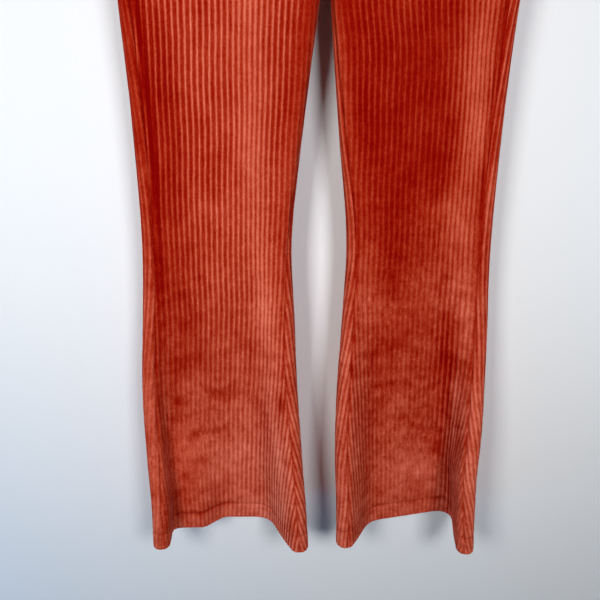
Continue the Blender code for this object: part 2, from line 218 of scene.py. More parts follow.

# Soft patches and creases of a panel, in millimetres: what its place is counted from (the grain
# line, or the outer or inner seam), where its middle lies, half its width and height, how far it
# slides across for each millimetre down, what it adds to the pile's tone, brushed and crushed,
# how far it lifts the cloth, and by what share it crowds the wales. Much of what they add to the
# tone and brushed is painted light: painted shade in creases, troughs and valleys, and painted
# highlights and sheen on ridges and lit flanks.
FINISH_AND_PAINTED_LIGHT = ("tone", "brushed_sheen", "crushed", "worn")
PATCH_COLUMNS = (
    "line", "across", "down", "half_across", "half_down", "lean", "tone", "brushed_sheen", "crushed",
    "lift", "crowded",
)
PATCHES = {
    "front_right": [
        # painted shade over the field inside the side seam
        ("outer", 26, 700, 24, 110, 0.0, -0.24, 0.0, 0.25, -0.5, 0.0),
        ("outer", 24, 480, 18, 130, 0.0, -0.26, 0.0, 0.25, 0.0, 0.0),
        ("outer", 24, 340, 16, 60, 0.0, -0.08, 0.0, 0.0, 0.0, 0.0),
        ("outer", 9, 630, 11, 60, 0.0, -0.10, 0.0, 0.1, 0.0, 0.0),
        ("outer", 30, 880, 16, 100, 0.0, -0.16, 0.0, 0.0, 0.0, 0.0),
        ("outer", 20, 900, 7, 100, 0.1, -0.04, 0.0, 0.0, -0.6, 0.0),
        # the ridge that runs down the thigh and shin, with painted sheen and light on its flank
        ("grain", 24, 340, 20, 60, 0.0, 0.02, 0.25, 0.20, 0.8, 0.10),
        ("grain", 36, 480, 16, 110, 0.0, 0.08, 0.45, 0.20, 1.8, 0.20),
        ("grain", 56, 690, 14, 110, 0.10, 0.09, 0.45, 0.0, 1.5, 0.30),
        # flattened nap along the inseam
        ("inner", 12, 330, 15, 70, 0.0, -0.22, 0.1, 0.80, -0.6, 0.0),
        ("inner", 20, 395, 14, 60, 0.0, -0.12, 0.0, 0.25, 0.0, 0.0),
        ("inner", 10, 460, 14, 70, 0.0, -0.06, 0.1, 0.40, -0.3, 0.0),
        ("inner", 8, 560, 12, 90, 0.0, -0.08, 0.1, 0.40, 0.0, 0.0),
        # pressed creases across the calf in painted shade, and the cloth between them with painted
        # light
        ("grain", -57, 824, 9, 8, 0.0, -0.26, 0.0, 0.3, -0.8, 0.0),
        ("grain", 1, 812, 24, 9, 0.0, -0.24, 0.0, 0.3, -0.9, 0.0),
        ("grain", -37, 880, 10, 8, 0.0, -0.24, 0.0, 0.3, -0.7, 0.0),
        ("grain", -14, 874, 16, 6, 0.0, -0.22, 0.0, 0.2, -0.6, 0.0),
        ("grain", -26, 922, 9, 6, 0.0, -0.20, 0.0, 0.2, -0.5, 0.0),
        ("grain", -22, 752, 22, 24, 0.0, -0.14, 0.0, 0.1, -0.3, 0.0),
        ("grain", 30, 905, 26, 22, 0.0, 0.08, 0.1, -0.1, 0.5, 0.0),
        # the nap is flattest beside the outer seam and stands up towards the inseam
        ("outer", 50, 975, 44, 45, 0.0, -0.25, 0.0, 0.0, 0.0, 0.0),
        ("outer", 52, 930, 34, 100, 0.0, 0.0, 0.0, 0.30, 0.0, 0.0),
        ("inner", 50, 945, 40, 100, 0.0, -0.03, 0.0, -0.38, 0.0, 0.0),
        ("inner", 45, 1005, 40, 40, 0.0, 0.13, -0.35, -0.30, 0.0, 0.0),
        # lit wales on the inner fold, and the marks where it was creased
        ("inner", 26, 900, 9, 110, 0.0, 0.10, 0.5, -0.3, 0.8, 0.0),
        ("inner", 50, 960, 14, 60, 0.0, 0.12, 0.3, -0.1, 0.0, 0.0),
        ("inner", 85, 1010, 26, 24, 0.0, 0.14, 0.1, 0.0, 0.0, 0.0),
        ("inner", 14, 890, 16, 140, 0.0, -0.06, 0.40, -0.50, 0.0, 0.0),
        ("inner", 8, 812, 6, 16, 0.1, -0.30, 0.0, 0.3, 0.0, 0.0),
        ("inner", 9, 897, 7, 8, 0.1, -0.30, 0.0, 0.3, 0.0, 0.0),
        ("inner", 10, 990, 7, 14, 0.1, -0.25, 0.0, 0.3, 0.0, 0.0),
        # the stretch where the hem stitches are pulled tight, in painted shade
        ("grain", -18, 1002, 42, 3, 0.0, -0.28, 0.0, 0.1, -0.4, 0.0),
    ],
    "front_left": [
        # the thigh and shin, and their nap along the inseam
        ("grain", 0, 400, 22, 50, 0.0, -0.06, 0.0, 0.15, -0.5, 0.0),
        ("grain", 20, 470, 40, 80, 0.0, -0.03, 0.0, 0.1, -0.8, 0.0),
        ("grain", -8, 680, 26, 30, 0.0, 0.05, 0.1, 0.0, 0.0, 0.0),
        ("inner", 18, 345, 9, 50, 0.0, -0.04, 0.0, 0.3, 0.0, 0.0),
        ("inner", 6, 420, 7, 110, 0.0, 0.18, 0.2, 0.2, 0.0, 0.0),
        ("inner", 42, 630, 16, 60, 0.0, -0.13, 0.0, 0.0, 0.0, 0.0),
        ("inner", 12, 640, 15, 110, 0.0, 0.02, 0.45, -0.10, 0.0, 0.0),
        ("inner", 14, 860, 16, 160, 0.0, -0.06, 0.40, -0.50, 0.0, 0.0),
        # the flank that catches the light inside the side seam
        ("outer", 28, 310, 22, 34, 0.0, 0.06, 0.70, -0.30, 1.0, 0.12),
        ("outer", 23, 390, 21, 50, 0.0, 0.14, 0.80, -0.30, 1.4, 0.30),
        ("outer", 18, 470, 18, 55, 0.0, 0.22, 0.80, -0.40, 1.4, 0.30),
        ("outer", 27, 575, 28, 60, 0.0, 0.14, 0.70, -0.30, 1.0, 0.12),
        ("outer", 18, 680, 20, 50, 0.0, 0.08, 0.50, -0.20, 0.6, 0.0),
        ("outer", 36, 730, 14, 90, 0.0, 0.0, -0.10, -0.28, 0.0, 0.0),
        ("outer", 8, 860, 12, 140, 0.0, 0.10, 0.20, -0.20, 0.0, 0.0),
        # pressed creases across the calf in painted shade, and the cloth between them with painted
        # light
        ("grain", 41, 798, 20, 6, 0.0, -0.24, 0.0, 0.1, -0.8, 0.0),
        ("grain", 22, 852, 26, 6, 0.05, -0.24, 0.0, 0.1, -0.7, 0.0),
        ("grain", -20, 880, 18, 8, 0.1, -0.22, 0.0, 0.1, -0.8, 0.0),
        ("grain", -33, 905, 9, 16, 0.0, -0.34, 0.0, 0.1, -1.0, 0.0),
        ("grain", 14, 880, 30, 9, 0.0, 0.08, 0.1, 0.0, 0.4, 0.0),
        ("grain", 8, 952, 36, 30, 0.0, 0.10, 0.1, 0.0, 0.4, 0.0),
        ("grain", 4, 930, 30, 100, 0.0, 0.0, 0.0, 0.32, 0.0, 0.0),
        # painted shade in the valley beside the outer fold, and the lit wales on its near side
        ("outer", 36, 770, 16, 60, 0.0, -0.14, 0.0, 0.0, -0.4, 0.0),
        ("outer", 42, 828, 12, 30, 0.0, -0.14, 0.0, 0.0, -0.3, 0.0),
        ("grain", -40, 770, 12, 70, 0.0, -0.14, 0.0, -0.2, -0.8, 0.0),
        ("outer", 50, 940, 15, 100, 0.25, -0.14, -0.15, -0.45, -0.8, 0.0),
        ("outer", 52, 940, 16, 110, 0.0, 0.0, 0.0, -0.40, 0.0, 0.0),
        ("outer", 69, 978, 14, 42, 0.25, -0.08, -0.20, -0.45, -0.4, 0.0),
        ("outer", 29, 850, 6, 90, 0.1, 0.18, 0.5, -0.4, 0.0, 0.0),
        # the stretches where the hem stitches are pulled tight, in painted shade
        ("grain", 50, 1002, 13, 3, 0.0, -0.20, 0.0, 0.1, -0.4, 0.0),
        ("grain", -38, 1002, 10, 3, 0.0, -0.20, 0.0, 0.1, -0.4, 0.0),
    ],
    "back_right": [
        # worn nap beside the seams
        ("outer", 12, 380, 18, 200, 0.0, -0.18, 0.1, 0.52, 0.0, 0.0),
        ("outer", 10, 860, 14, 160, 0.0, -0.04, 0.2, 0.25, 0.0, 0.0),
        ("outer", 17, 935, 12, 36, 0.0, -0.14, 0.0, 0.1, 0.0, 0.0),
        ("inner", 12, 880, 16, 150, 0.0, -0.06, 0.3, -0.30, 0.0, 0.0),
        # soft ridges down the seat, thigh and calf, with painted sheen on them
        ("grain", -20, 160, 30, 70, 0.1, 0.06, 0.3, 0.0, 1.6, 0.0),
        ("grain", -30, 420, 12, 150, 0.05, 0.10, 0.5, -0.1, 1.6, 0.1),
        ("grain", -50, 740, 24, 60, 0.1, 0.08, 0.3, 0.0, 1.0, 0.0),
        ("grain", 60, 920, 10, 90, 0.1, 0.10, 0.4, -0.1, 1.2, 0.0),
        # creases under the seat, behind the knee and across the calf, in painted shade
        ("grain", 45, 240, 34, 14, -0.2, -0.06, 0.1, 0.3, -1.8, 0.0),
        ("grain", 50, 560, 30, 9, 0.3, -0.12, 0.0, 0.4, -1.5, 0.0),
        ("grain", 20, 600, 38, 10, -0.2, -0.10, 0.0, 0.4, -1.6, 0.0),
        ("grain", 30, 860, 26, 12, 0.0, -0.12, 0.0, 0.4, -1.2, 0.0),
    ],
    "back_left": [
        # worn nap beside the seams
        ("inner", 8, 420, 10, 160, 0.0, 0.10, 0.2, 0.3, 0.0, 0.0),
        ("outer", 4, 537, 10, 45, 0.0, 0.12, 0.2, 0.0, 0.0, 0.0),
        ("outer", 10, 880, 14, 150, 0.0, 0.10, 0.2, -0.2, 0.0, 0.0),
        ("inner", 12, 800, 16, 200, 0.0, 0.00, 0.3, -0.20, 0.0, 0.0),
        # soft ridges down the seat, thigh and calf, with painted sheen on them
        ("grain", 10, 150, 34, 60, -0.1, 0.06, 0.3, 0.0, 1.6, 0.0),
        ("grain", 40, 430, 14, 140, -0.05, 0.10, 0.5, -0.1, 1.5, 0.1),
        ("grain", 60, 760, 18, 70, 0.0, 0.08, 0.3, 0.0, 1.0, 0.0),
        ("grain", -60, 930, 10, 80, -0.1, 0.10, 0.4, -0.1, 1.2, 0.0),
        # creases under the seat, behind the knee and across the calf, in painted shade
        ("grain", -50, 250, 32, 12, 0.25, -0.08, 0.0, 0.3, -1.8, 0.0),
        ("grain", -30, 540, 34, 9, 0.2, -0.12, 0.0, 0.4, -1.5, 0.0),
        ("grain", 30, 610, 26, 11, -0.3, -0.10, 0.0, 0.4, -1.6, 0.0),
        ("grain", -20, 880, 30, 10, 0.1, -0.12, 0.0, 0.4, -1.2, 0.0),
    ],
    "waistband_front": [],
    "waistband_back": [],
}

# The long trough in a front panel just inside its side seam: how deep, how dark its painted shade
# is, and how wide, by drop
SEAM_TROUGH = {
    "right": {
        "drop": (0.05, 0.20, 0.34, 0.50, 0.60, 0.70),
        "deep": (0.0004, 0.0012, 0.0018, 0.0016, 0.0008, 0.0),
        "dark": (0.10, 0.30, 0.52, 0.50, 0.35, 0.15),
        "half": (0.0055,) * 6,
    },
    "left": {
        "drop": (0.05, 0.20, 0.34, 0.50, 0.60, 0.70),
        "deep": (0.0002, 0.0008, 0.0012, 0.0012, 0.0006, 0.0),
        "dark": (0.05, 0.14, 0.26, 0.28, 0.20, 0.05),
        "half": (0.0030,) * 6,
    },
}
TROUGH_FROM_SEAM = 1.1  # of its own half width

# The lit wale between that trough and the side seam, which fades out round the knee
LIT_WALE = {
    "tone": 0.3, "from_seam": 0.0024, "half": 0.0011, "fade_from": 0.45, "fade_over": 0.25,
}

# Gathers that the waist elastic makes in its casing: their height, two pitches, each one's share
# of the height, how unevenly the shorter come, their share at an edge, and how fast they fade
# below the waistband
PUCKER = 0.0011
PUCKER_PITCH = (0.0135, 0.0210)
PUCKER_SHARE = (0.6, 0.4)
PUCKER_UNEVEN = 1.3  # radians early or late
PUCKER_DRIFT = 90  # radians a metre, for the change from early to late
PUCKER_OFFSET = 2  # radians between the two pitches
PUCKER_AT_EDGE = 0.35
PUCKER_FADE = 0.035


def value(table, column, drop):
    """A column of a table at a drop, on a smooth curve through its rows."""
    drops, values = table["drop"], table[column]
    if drop <= drops[0]:
        return values[0]
    if drop >= drops[-1]:
        return values[-1]
    row = max(i for i in range(len(drops) - 1) if drops[i] <= drop)

    def slope(i):
        low, high = max(i - 1, 0), min(i + 1, len(drops) - 1)
        return (values[high] - values[low]) / (drops[high] - drops[low])

    step = drops[row + 1] - drops[row]
    t = (drop - drops[row]) / step
    return (
        (2 * t**3 - 3 * t**2 + 1) * values[row]
        + (t**3 - 2 * t**2 + t) * step * slope(row)
        + (3 * t**2 - 2 * t**3) * values[row + 1]
        + (t**3 - t**2) * step * slope(row + 1)
    )


def ease(t):
    """0 below 0 and 1 above 1, with a smooth step between."""
    t = np.clip(t, 0.0, 1.0)
    return t * t * (3 - 2 * t)


def bell(distance, half_width):
    """1 in the middle, fading smoothly to about a third at the half width."""
    return np.exp(-((distance / half_width) ** 2))


def depth_profile(along, half_length, middle, outer_end, inner_end):
    """Half the depth of a flattened tube: middle at its centre, rounded off at both ends."""
    end = np.where(along < 0, outer_end, inner_end)
    swell = middle + (end - middle) * ease((abs(along) / half_length - FLAT_SHARE) / SWELL_SHARE)
    past = np.clip((abs(along) - (half_length - end)) / end, 0, 1)
    return swell * np.sqrt(1 - past**2)


def outline(x, back, tilt, depth):
    """Front and back of a section, as points, from its middle line, its tilt and half its depth."""
    forward = np.stack([np.sin(tilt), -np.cos(tilt)], axis=1) * depth[:, None]
    middle = np.stack([x, back], axis=1)
    return middle + forward, middle - forward


def leg_section(leg, drop):
    """(front, back) of a leg's ring, each from the outer edge to the inner edge."""
    table = leg["table"]
    depths = [value(table, c, drop) for c in ("half_depth", "outer_depth", "inner_depth")]
    half = (value(table, "flat_width", drop) - (math.pi - 2) * (depths[1] + depths[2]) / 2) / 2
    along = -half * np.cos(np.linspace(0, math.pi, FINE))
    outer_at = -half + value(table, "outer_flap", drop)
    inner_at = half - value(table, "inner_flap", drop)
    outer_turn = math.radians(value(table, "outer_turn", drop))
    inner_turn = math.radians(value(table, "inner_turn", drop))
    tilt = outer_turn * (1 - ease((along - outer_at) / leg["outer_bend"] + 0.5))
    tilt = tilt - inner_turn * ease((along - inner_at) / leg["inner_bend"] + 0.5)
    tilt = tilt - math.radians(value(table, "whole_turn", drop))
    step = np.diff(along)
    centre = (tilt[1:] + tilt[:-1]) / 2
    x = np.concatenate([[0], np.cumsum(np.cos(centre) * step)])
    back = np.concatenate([[0], np.cumsum(np.sin(centre) * step)])
    x -= np.interp(0, along, x)
    back -= np.interp(0, along, back)
    if STEP["leg"] == leg["name"]:
        grown = ease((drop - STEP["from_drop"]) / (LENGTH - STEP["from_drop"]))
        beyond = 1 - ease((along / half - STEP["at"]) / STEP["over"] + 0.5)
        back -= STEP["forward"] * grown * beyond
    front, rear = outline(x, back, tilt, depth_profile(along, half, *depths))
    place = np.array([value(table, "middle_x", drop), value(table, "middle_back", drop)])
    mirror = np.array([leg["side"] * -1, 1])
    return front * mirror + place, rear * mirror + place


def body_section(leg, drop):
    """(front, back) of one half of the body's ring, each from the side fold to the centre."""
    reach, half_depth, fold_depth = (
        value(BODY, c, drop) for c in (f"reach_{leg['name']}", "half_depth", "fold_depth")
    )
    along = -reach * np.cos(np.linspace(0, math.pi / 2, FINE))
    depth = depth_profile(along, reach, half_depth, fold_depth, fold_depth)
    back = np.full(FINE, value(BODY, "middle_back", drop))
    front, rear = outline(-along, back, np.zeros(FINE), depth)
    mirror = np.array([leg["side"], 1])
    return front * mirror, rear * mirror


def arc_lengths(points):
    """The length along a line of points, at each of them."""
    return np.concatenate([[0], np.cumsum(np.linalg.norm(np.diff(points, axis=0), axis=1))])


def between_seams(piece, front, back, outer_seam, inner_seam):
    """A path along a section, and where on it one panel starts and ends, at its two seams."""
    if piece == "front":
        return front, outer_seam, arc_lengths(front)[-1] - inner_seam
    path = np.concatenate([front[::-1], back[1:]])
    start = arc_lengths(front)[-1] - outer_seam
    end = arc_lengths(path)[-1] + inner_seam
    if inner_seam > 0:
        path = np.concatenate([path, front[-2::-1]])
    return path, start, end


def spaced(path, start, end):
    """Points and tangents along a path, evenly spaced from its start to its end."""
    length = arc_lengths(path)
    at = np.linspace(start, end, FINE)
    tangent = np.gradient(path, length, axis=0)
    return tuple(
        np.stack([np.interp(at, length, curve[:, k]) for k in (0, 1)], axis=1)
        for curve in (path, tangent)
    )


def outward(tangent, piece, leg):
    """Unit normals that point out of the garment, turned from the tangents of a section."""
    turn = leg["side"] if piece == "front" else -leg["side"]
    normal = np.stack([-tangent[:, 1], tangent[:, 0]], axis=1) * turn
    return normal / np.linalg.norm(normal, axis=1)[:, None]


def leg_curve(piece, leg, drop):
    """A row of a leg panel from its outer seam to its inner one, and where its grain line is."""
    seams = [value(leg["table"], c, drop) for c in ("outer_seam", "inner_seam")]
    points, tangent = spaced(*between_seams(piece, *leg_section(leg, drop), *seams))
    normal = outward(tangent, piece, leg)
    if drop < CROTCH:
        seam = value(BODY, "seam_in_front", drop)
        body_path = between_seams(piece, *body_section(leg, drop), seam, 0.0)
        body_points, body_tangent = spaced(*body_path)
        height = min((CROTCH - drop) / RISE_CURVE, 1.0)
        opened = math.sqrt(1 - (1 - height) ** 2)
        points = points + opened * (body_points - points)
        normal = normal + opened * (outward(body_tangent, piece, leg) - normal)
        normal = normal / np.linalg.norm(normal, axis=1)[:, None]
    arc = arc_lengths(points)
    grain = leg["grain_x"] + leg["grain_lean"] * (drop - GRAIN_DROP)
    middle = slice(FINE // 4, 3 * FINE // 4)  # the part of the row that doesn't fold back
    order = np.argsort(points[middle, 0])
    return points, normal, arc - np.interp(grain, points[middle, 0][order], arc[middle][order])


def waistband_curve(piece, drop):
    """A row of half the waistband, side seam to side seam, with its grain line in the middle."""
    halves = []
    for leg in LEGS:
        seam = value(BODY, "seam_in_front", drop)
        path, start, end = between_seams(piece, *body_section(leg, drop), seam, 0.0)
        points, tangent = spaced(path, start, end)
        halves.append((points, outward(tangent, piece, leg)))
    points, normal = (np.concatenate([halves[0][k], halves[1][k][-2::-1]]) for k in (0, 1))
    arc = arc_lengths(points)
    return points, normal, arc - arc[FINE - 1]


def leg_rows():
    """Drops of a leg panel's rows, closer together at the waist seam and the hem."""
    turn = LENGTH - HEM_TURN
    return [
        *(WAISTBAND + step for step in WAIST_ROWS),
        *np.arange(WAISTBAND + 6 * MM, turn - 2 * MM, ROW_STEP),
        turn - MM,
        *(STITCH_DROP + step for step in STITCH_ROWS),
        *(LENGTH - rise for rise in HEM_ROWS),
    ]


def waistband_rows():
    """Drops of the waistband's rows, closer together at its two edges."""
    middle = np.linspace(BAND_MARGIN, WAISTBAND - BAND_MARGIN, BAND_ROWS)
    return [*BAND_EDGE_ROWS, *middle, *(WAISTBAND - rise for rise in BAND_EDGE_ROWS[::-1])]


def wale_height(across):
    """How far the pile lies below the wales' crowns: rounded ribs with a narrow groove between."""
    crown = 0.5 + 0.5 * np.cos(2 * math.pi * across / WALE)
    return -GROOVE * (1 - crown) ** GROOVE_POWER


def puckers(across):
    """How far the gathers lift the cloth, a little unevenly."""
    short, long = (2 * math.pi * across / pitch for pitch in PUCKER_PITCH)
    short = short + PUCKER_UNEVEN * np.sin(across * PUCKER_DRIFT)
    short_share, long_share = PUCKER_SHARE
    return PUCKER * (short_share * np.sin(short) + long_share * np.sin(long + PUCKER_OFFSET))


def lip(from_edge, radius):
    """How far a folded edge rounds off, from its full thickness down to almost nothing."""
    t = np.clip(1 - from_edge / radius, 0, EDGE_ROUND)
    return radius * (1 - np.sqrt(1 - t**2))


def pile(name, across, drop, start, end):
    """(lift, shift, tone, brushed, crushed, worn) along a row of a panel. The shift is how far the
    wales are slid sideways where they crowd. Much of the tone and brushed is painted light and
    shade."""
    panel, leg_name = name.split("_")
    base = PILE[name if name in PILE else "waistband" if panel == "waistband" else "back"]
    lift, shift = np.zeros(len(across)), np.zeros(len(across))
    finish_and_painted_light = {c: np.full(len(across), value(base, c, drop)) for c in FINISH_AND_PAINTED_LIGHT}
    from_line = {"grain": across, "outer": across - start, "inner": end - across}
    for row in PATCHES[name]:
        patch = dict(zip(PATCH_COLUMNS, row))
        down = drop / MM - patch["down"]
        slide = from_line[patch["line"]] / MM - patch["across"] - patch["lean"] * down
        wide, high = patch["half_across"], bell(down, patch["half_down"])
        weight = bell(slide, wide) * high
        lift += MM * patch["lift"] * weight
        side = -1 if patch["line"] == "inner" else 1
        shift += MM * patch["crowded"] * wide * np.tanh(slide / wide) * high * side
        for column in ("tone", "brushed_sheen", "crushed"):
            finish_and_painted_light[column] += patch[column] * weight
    # painted shade along the seams, the hem stitches and the waist seam, with the pile pressed flat
    # there
    seam = bell(np.minimum(across - start, end - across), SEAM_REACH)
    finish_and_painted_light["tone"] -= SEAM_TONE * seam + STITCH_TONE * bell(drop - STITCH_DROP, LINE_REACH)
    finish_and_painted_light["tone"] -= WAIST_SEAM_TONE * bell(drop - WAISTBAND, LINE_REACH)
    # painted light on the tops of the gathers and painted shade between them
    gathered = math.exp(-max(drop - WAISTBAND, 0) / PUCKER_FADE)
    finish_and_painted_light["tone"] += GATHER_PAINTED_LIGHT * gathered * puckers(across) / PUCKER
    if panel == "front":
        # painted shade in the trough inside the side seam, and a painted highlight on the lit wale
        # beside it
        deep, dark, half = (value(SEAM_TROUGH[leg_name], c, drop) for c in ("deep", "dark", "half"))
        trough = bell(across - start - half * TROUGH_FROM_SEAM, half)
        lift -= deep * trough
        finish_and_painted_light["tone"] -= dark * trough
        finish_and_painted_light["crushed"] += dark * trough
        lit = bell(across - start - LIT_WALE["from_seam"], LIT_WALE["half"])
        faded = ease((drop - LIT_WALE["fade_from"]) / LIT_WALE["fade_over"])
        finish_and_painted_light["tone"] += LIT_WALE["tone"] * lit * (1 - faded)
    return lift, shift, *finish_and_painted_light.values()


def surface(name, across, drop, start, end):
    """How far the outer and inner faces of the cloth lie out from the solid's outer face, and
    (place across the wales, tone, brushed, crushed, worn) for the pile."""
    lift, shift, tone, brushed_sheen, crushed, worn = pile(name, across, drop, start, end)
    seam = SEAM_DIP * bell(np.minimum(across - start, end - across), SEAM_REACH)
    lying = 1 - CRUSHED_SHARE * np.clip(crushed, 0, 1)
    ribs = wale_height(across + shift) * (1 - SEAM_SHARE * seam / SEAM_DIP) * lying
    if name.startswith("waistband"):
        rounded = lip(min(drop, WAISTBAND - drop), CLOTH)
        level = 1 - EDGE_SHARE * rounded / CLOTH
        inside = ease(min(drop, WAISTBAND - drop) / EDGE_BAND)
        lift = lift + puckers(across) * (PUCKER_AT_EDGE + (1 - PUCKER_AT_EDGE) * inside)
        thick = LAYERS * CLOTH - rounded
        outer = lift - rounded + (ribs - seam) * level
    else:
        rounded = lip(LENGTH - drop, CLOTH)
        level = 1 - EDGE_SHARE * rounded / CLOTH
        below = drop - WAISTBAND
        lift = lift + puckers(across) * PUCKER_AT_EDGE * math.exp(-below / PUCKER_FADE)
        lift = lift - SEAM_DIP * bell(below, SEAM_REACH) * WAIST_SEAM_SHARE
        turned = drop > LENGTH - HEM_TURN + CLOTH / 4
        thick = CLOTH * (LAYERS if turned else 1) - rounded
        stitched = STITCH_DIP * bell(drop - STITCH_DROP, STITCH_REACH)
        outer = lift - rounded + (ribs - seam) * level - stitched
    return outer, lift - thick, (across + shift, tone, brushed_sheen, crushed, worn)


def wobble(across, drop, start, end):
    """The wales waver a little sideways, but not at the seams."""
    inside = ease(np.minimum(across - start, end - across) / EDGE_BAND)
    wave = np.sin(2 * math.pi * (drop / WAVER_LENGTH + across * WAVER_SLIDE))
    return WAVER * wave * inside


def cloth_rows(name, curve, drops):
    """Rows of (drop, across, outer points, inner points, finish), all with the same columns."""
    curves = [curve(drop) for drop in drops]
    first = math.floor(min(arc[0] for _, _, arc in curves) / COLUMN)
    last = math.ceil(max(arc[-1] for _, _, arc in curves) / COLUMN)
    rows = []
    for drop, (points, normal, arc) in zip(drops, curves):
        start, end = arc[0], arc[-1]
        across = np.clip(np.arange(first, last + 1) * COLUMN, start, end)
        at = across + wobble(across, drop, start, end)
        place, out = (
            np.stack([np.interp(at, arc, line[:, k]) for k in (0, 1)], axis=1)
            for line in (points, normal)
        )
        outer, inner, finish_and_painted_light = surface(name, across, drop, start, end)
        rows.append((drop, across, place + out * outer[:, None], place + out * inner[:, None],
                     np.stack(finish_and_painted_light, axis=1)))
    return rows


def cloth_shell(bm, rows):
    """A grid folded round the cloth: along its outer points and back along its inner ones, with
    the first and last rows closed halfway between the two. The back of the cloth is material 1."""
    cloth, finish_and_painted_light = (bm.verts.layers.float_vector.new(name) for name in ("cloth", "finish_and_painted_light"))
    columns = len(rows[0][1])
    across_steps, down_steps = 2 * columns, len(rows) + 1
    bmesh.ops.create_grid(bm, x_segments=across_steps, y_segments=down_steps, size=0.5)
    for face in bm.faces:
        middle = face.calc_center_median()
        row = min(int((0.5 - middle.y) * down_steps), len(rows) - 1)
        face.material_index = int(middle.x > 0 and rows[row][0] <= LENGTH - HEM_TURN)
    for vert in bm.verts:
        step = round((0.5 - vert.co.y) * down_steps)
        drop, across, outer, inner, marks = rows[min(max(step - 1, 0), len(rows) - 1)]
        column = round((0.5 + vert.co.x) * across_steps) % across_steps
        inside = column >= columns
        column = across_steps - 1 - column if inside else column
        point = (inner if inside else outer)[column]
        if step in (0, down_steps):
            point = (outer[column] + inner[column]) / 2
        vert.co = (*point, -drop)
        wales, tone, brushed_sheen, crushed, worn = marks[column]
        vert[cloth] = (wales, drop, worn)
        # the pile's tone, brushed and crushed, with much of the tone and brushed painted light and
        # shade
        vert[finish_and_painted_light] = (tone, brushed_sheen, crushed)
    bmesh.ops.remove_doubles(bm, verts=bm.verts, dist=MM / 1000)
    bmesh.ops.recalc_face_normals(bm, faces=bm.faces)


def cloth_piece(node, curve, drops, materials):
    """A shell of cloth on its solid's form, with its wales, creases and seams."""
    rows = cloth_rows(node, curve, drops)
    bm = bmesh.new()
    cloth_shell(bm, rows)
    piece = finish_piece(bm, f"{node}_cord", materials)
    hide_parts(node)


def finish_piece(bm, name, materials):
    """A smooth-shaded piece of the garment from a mesh, with its place in the mesh."""
    mesh = bpy.data.meshes.new(name)
    bm.to_mesh(mesh)
    bm.free()
    for material in materials:
        mesh.materials.append(material)
    mesh.shade_smooth()
    piece = bpy.data.objects.new(name, mesh)
    bpy.context.scene.collection.objects.link(piece)
    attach(piece, "root")
    return piece


def hem_stitches(leg, material):
    """One row of lockstitch round a hem, each stitch a short capsule pressed into the wales."""
    bm = bmesh.new()
    for panel in ("front", "back"):
        points, normal, arc = leg_curve(panel, leg, STITCH_DROP)
        for at in np.arange(arc[0] + STITCH_PITCH / 2, arc[-1] - STITCH_PITCH / 3, STITCH_PITCH):
            x, back, nx, ny = (
                np.interp(at, arc, line[:, k]) for line in (points, normal) for k in (0, 1)
            )
            name = f"{panel}_{leg['name']}"
            height = surface(name, np.array([at]), STITCH_DROP, arc[0], arc[-1])[0][0]
            out = Vector((nx, ny, 0))
            centre = Vector((x, back, -STITCH_DROP)) + out * (height + THREAD * THREAD_PROUD)
            along = Vector((0, 0, 1)).cross(out)
            axes = Matrix((along, Vector((0, 0, 1)), out)).transposed().to_4x4()
            size = Matrix.Diagonal((STITCH_LENGTH / 2, THREAD, THREAD, 1))
            bmesh.ops.create_uvsphere(
                bm, u_segments=6, v_segments=4, radius=1,
                matrix=Matrix.Translation(centre) @ axes @ size,
            )
    finish_piece(bm, f"hem_stitches_{leg['name']}", [material])


def linear(hex_colour):
    """An sRGB hex colour as linear RGBA."""
    channels = (int(hex_colour[i : i + 2], 16) / 255 for i in (1, 3, 5))
    return (*(c / 12.92 if c <= 0.04045 else ((c + 0.055) / 1.055) ** 2.4 for c in channels), 1.0)


def add(tree, kind, inputs, **settings):
    """A node with its settings. Each of its inputs is a value, or an output to link from."""
    node = tree.nodes.new(kind)
    for name, setting in settings.items():
        setattr(node, name, setting)
    for key, given in inputs.items():
        if isinstance(given, bpy.types.NodeSocket):
            tree.links.new(given, node.inputs[key])
        else:
            node.inputs[key].default_value = given
    return node


def new_material(name):
    """A material with its node tree and its shader."""
    material = bpy.data.materials.new(name)
    material.use_nodes = True
    return material, material.node_tree, material.node_tree.nodes["Principled BSDF"]


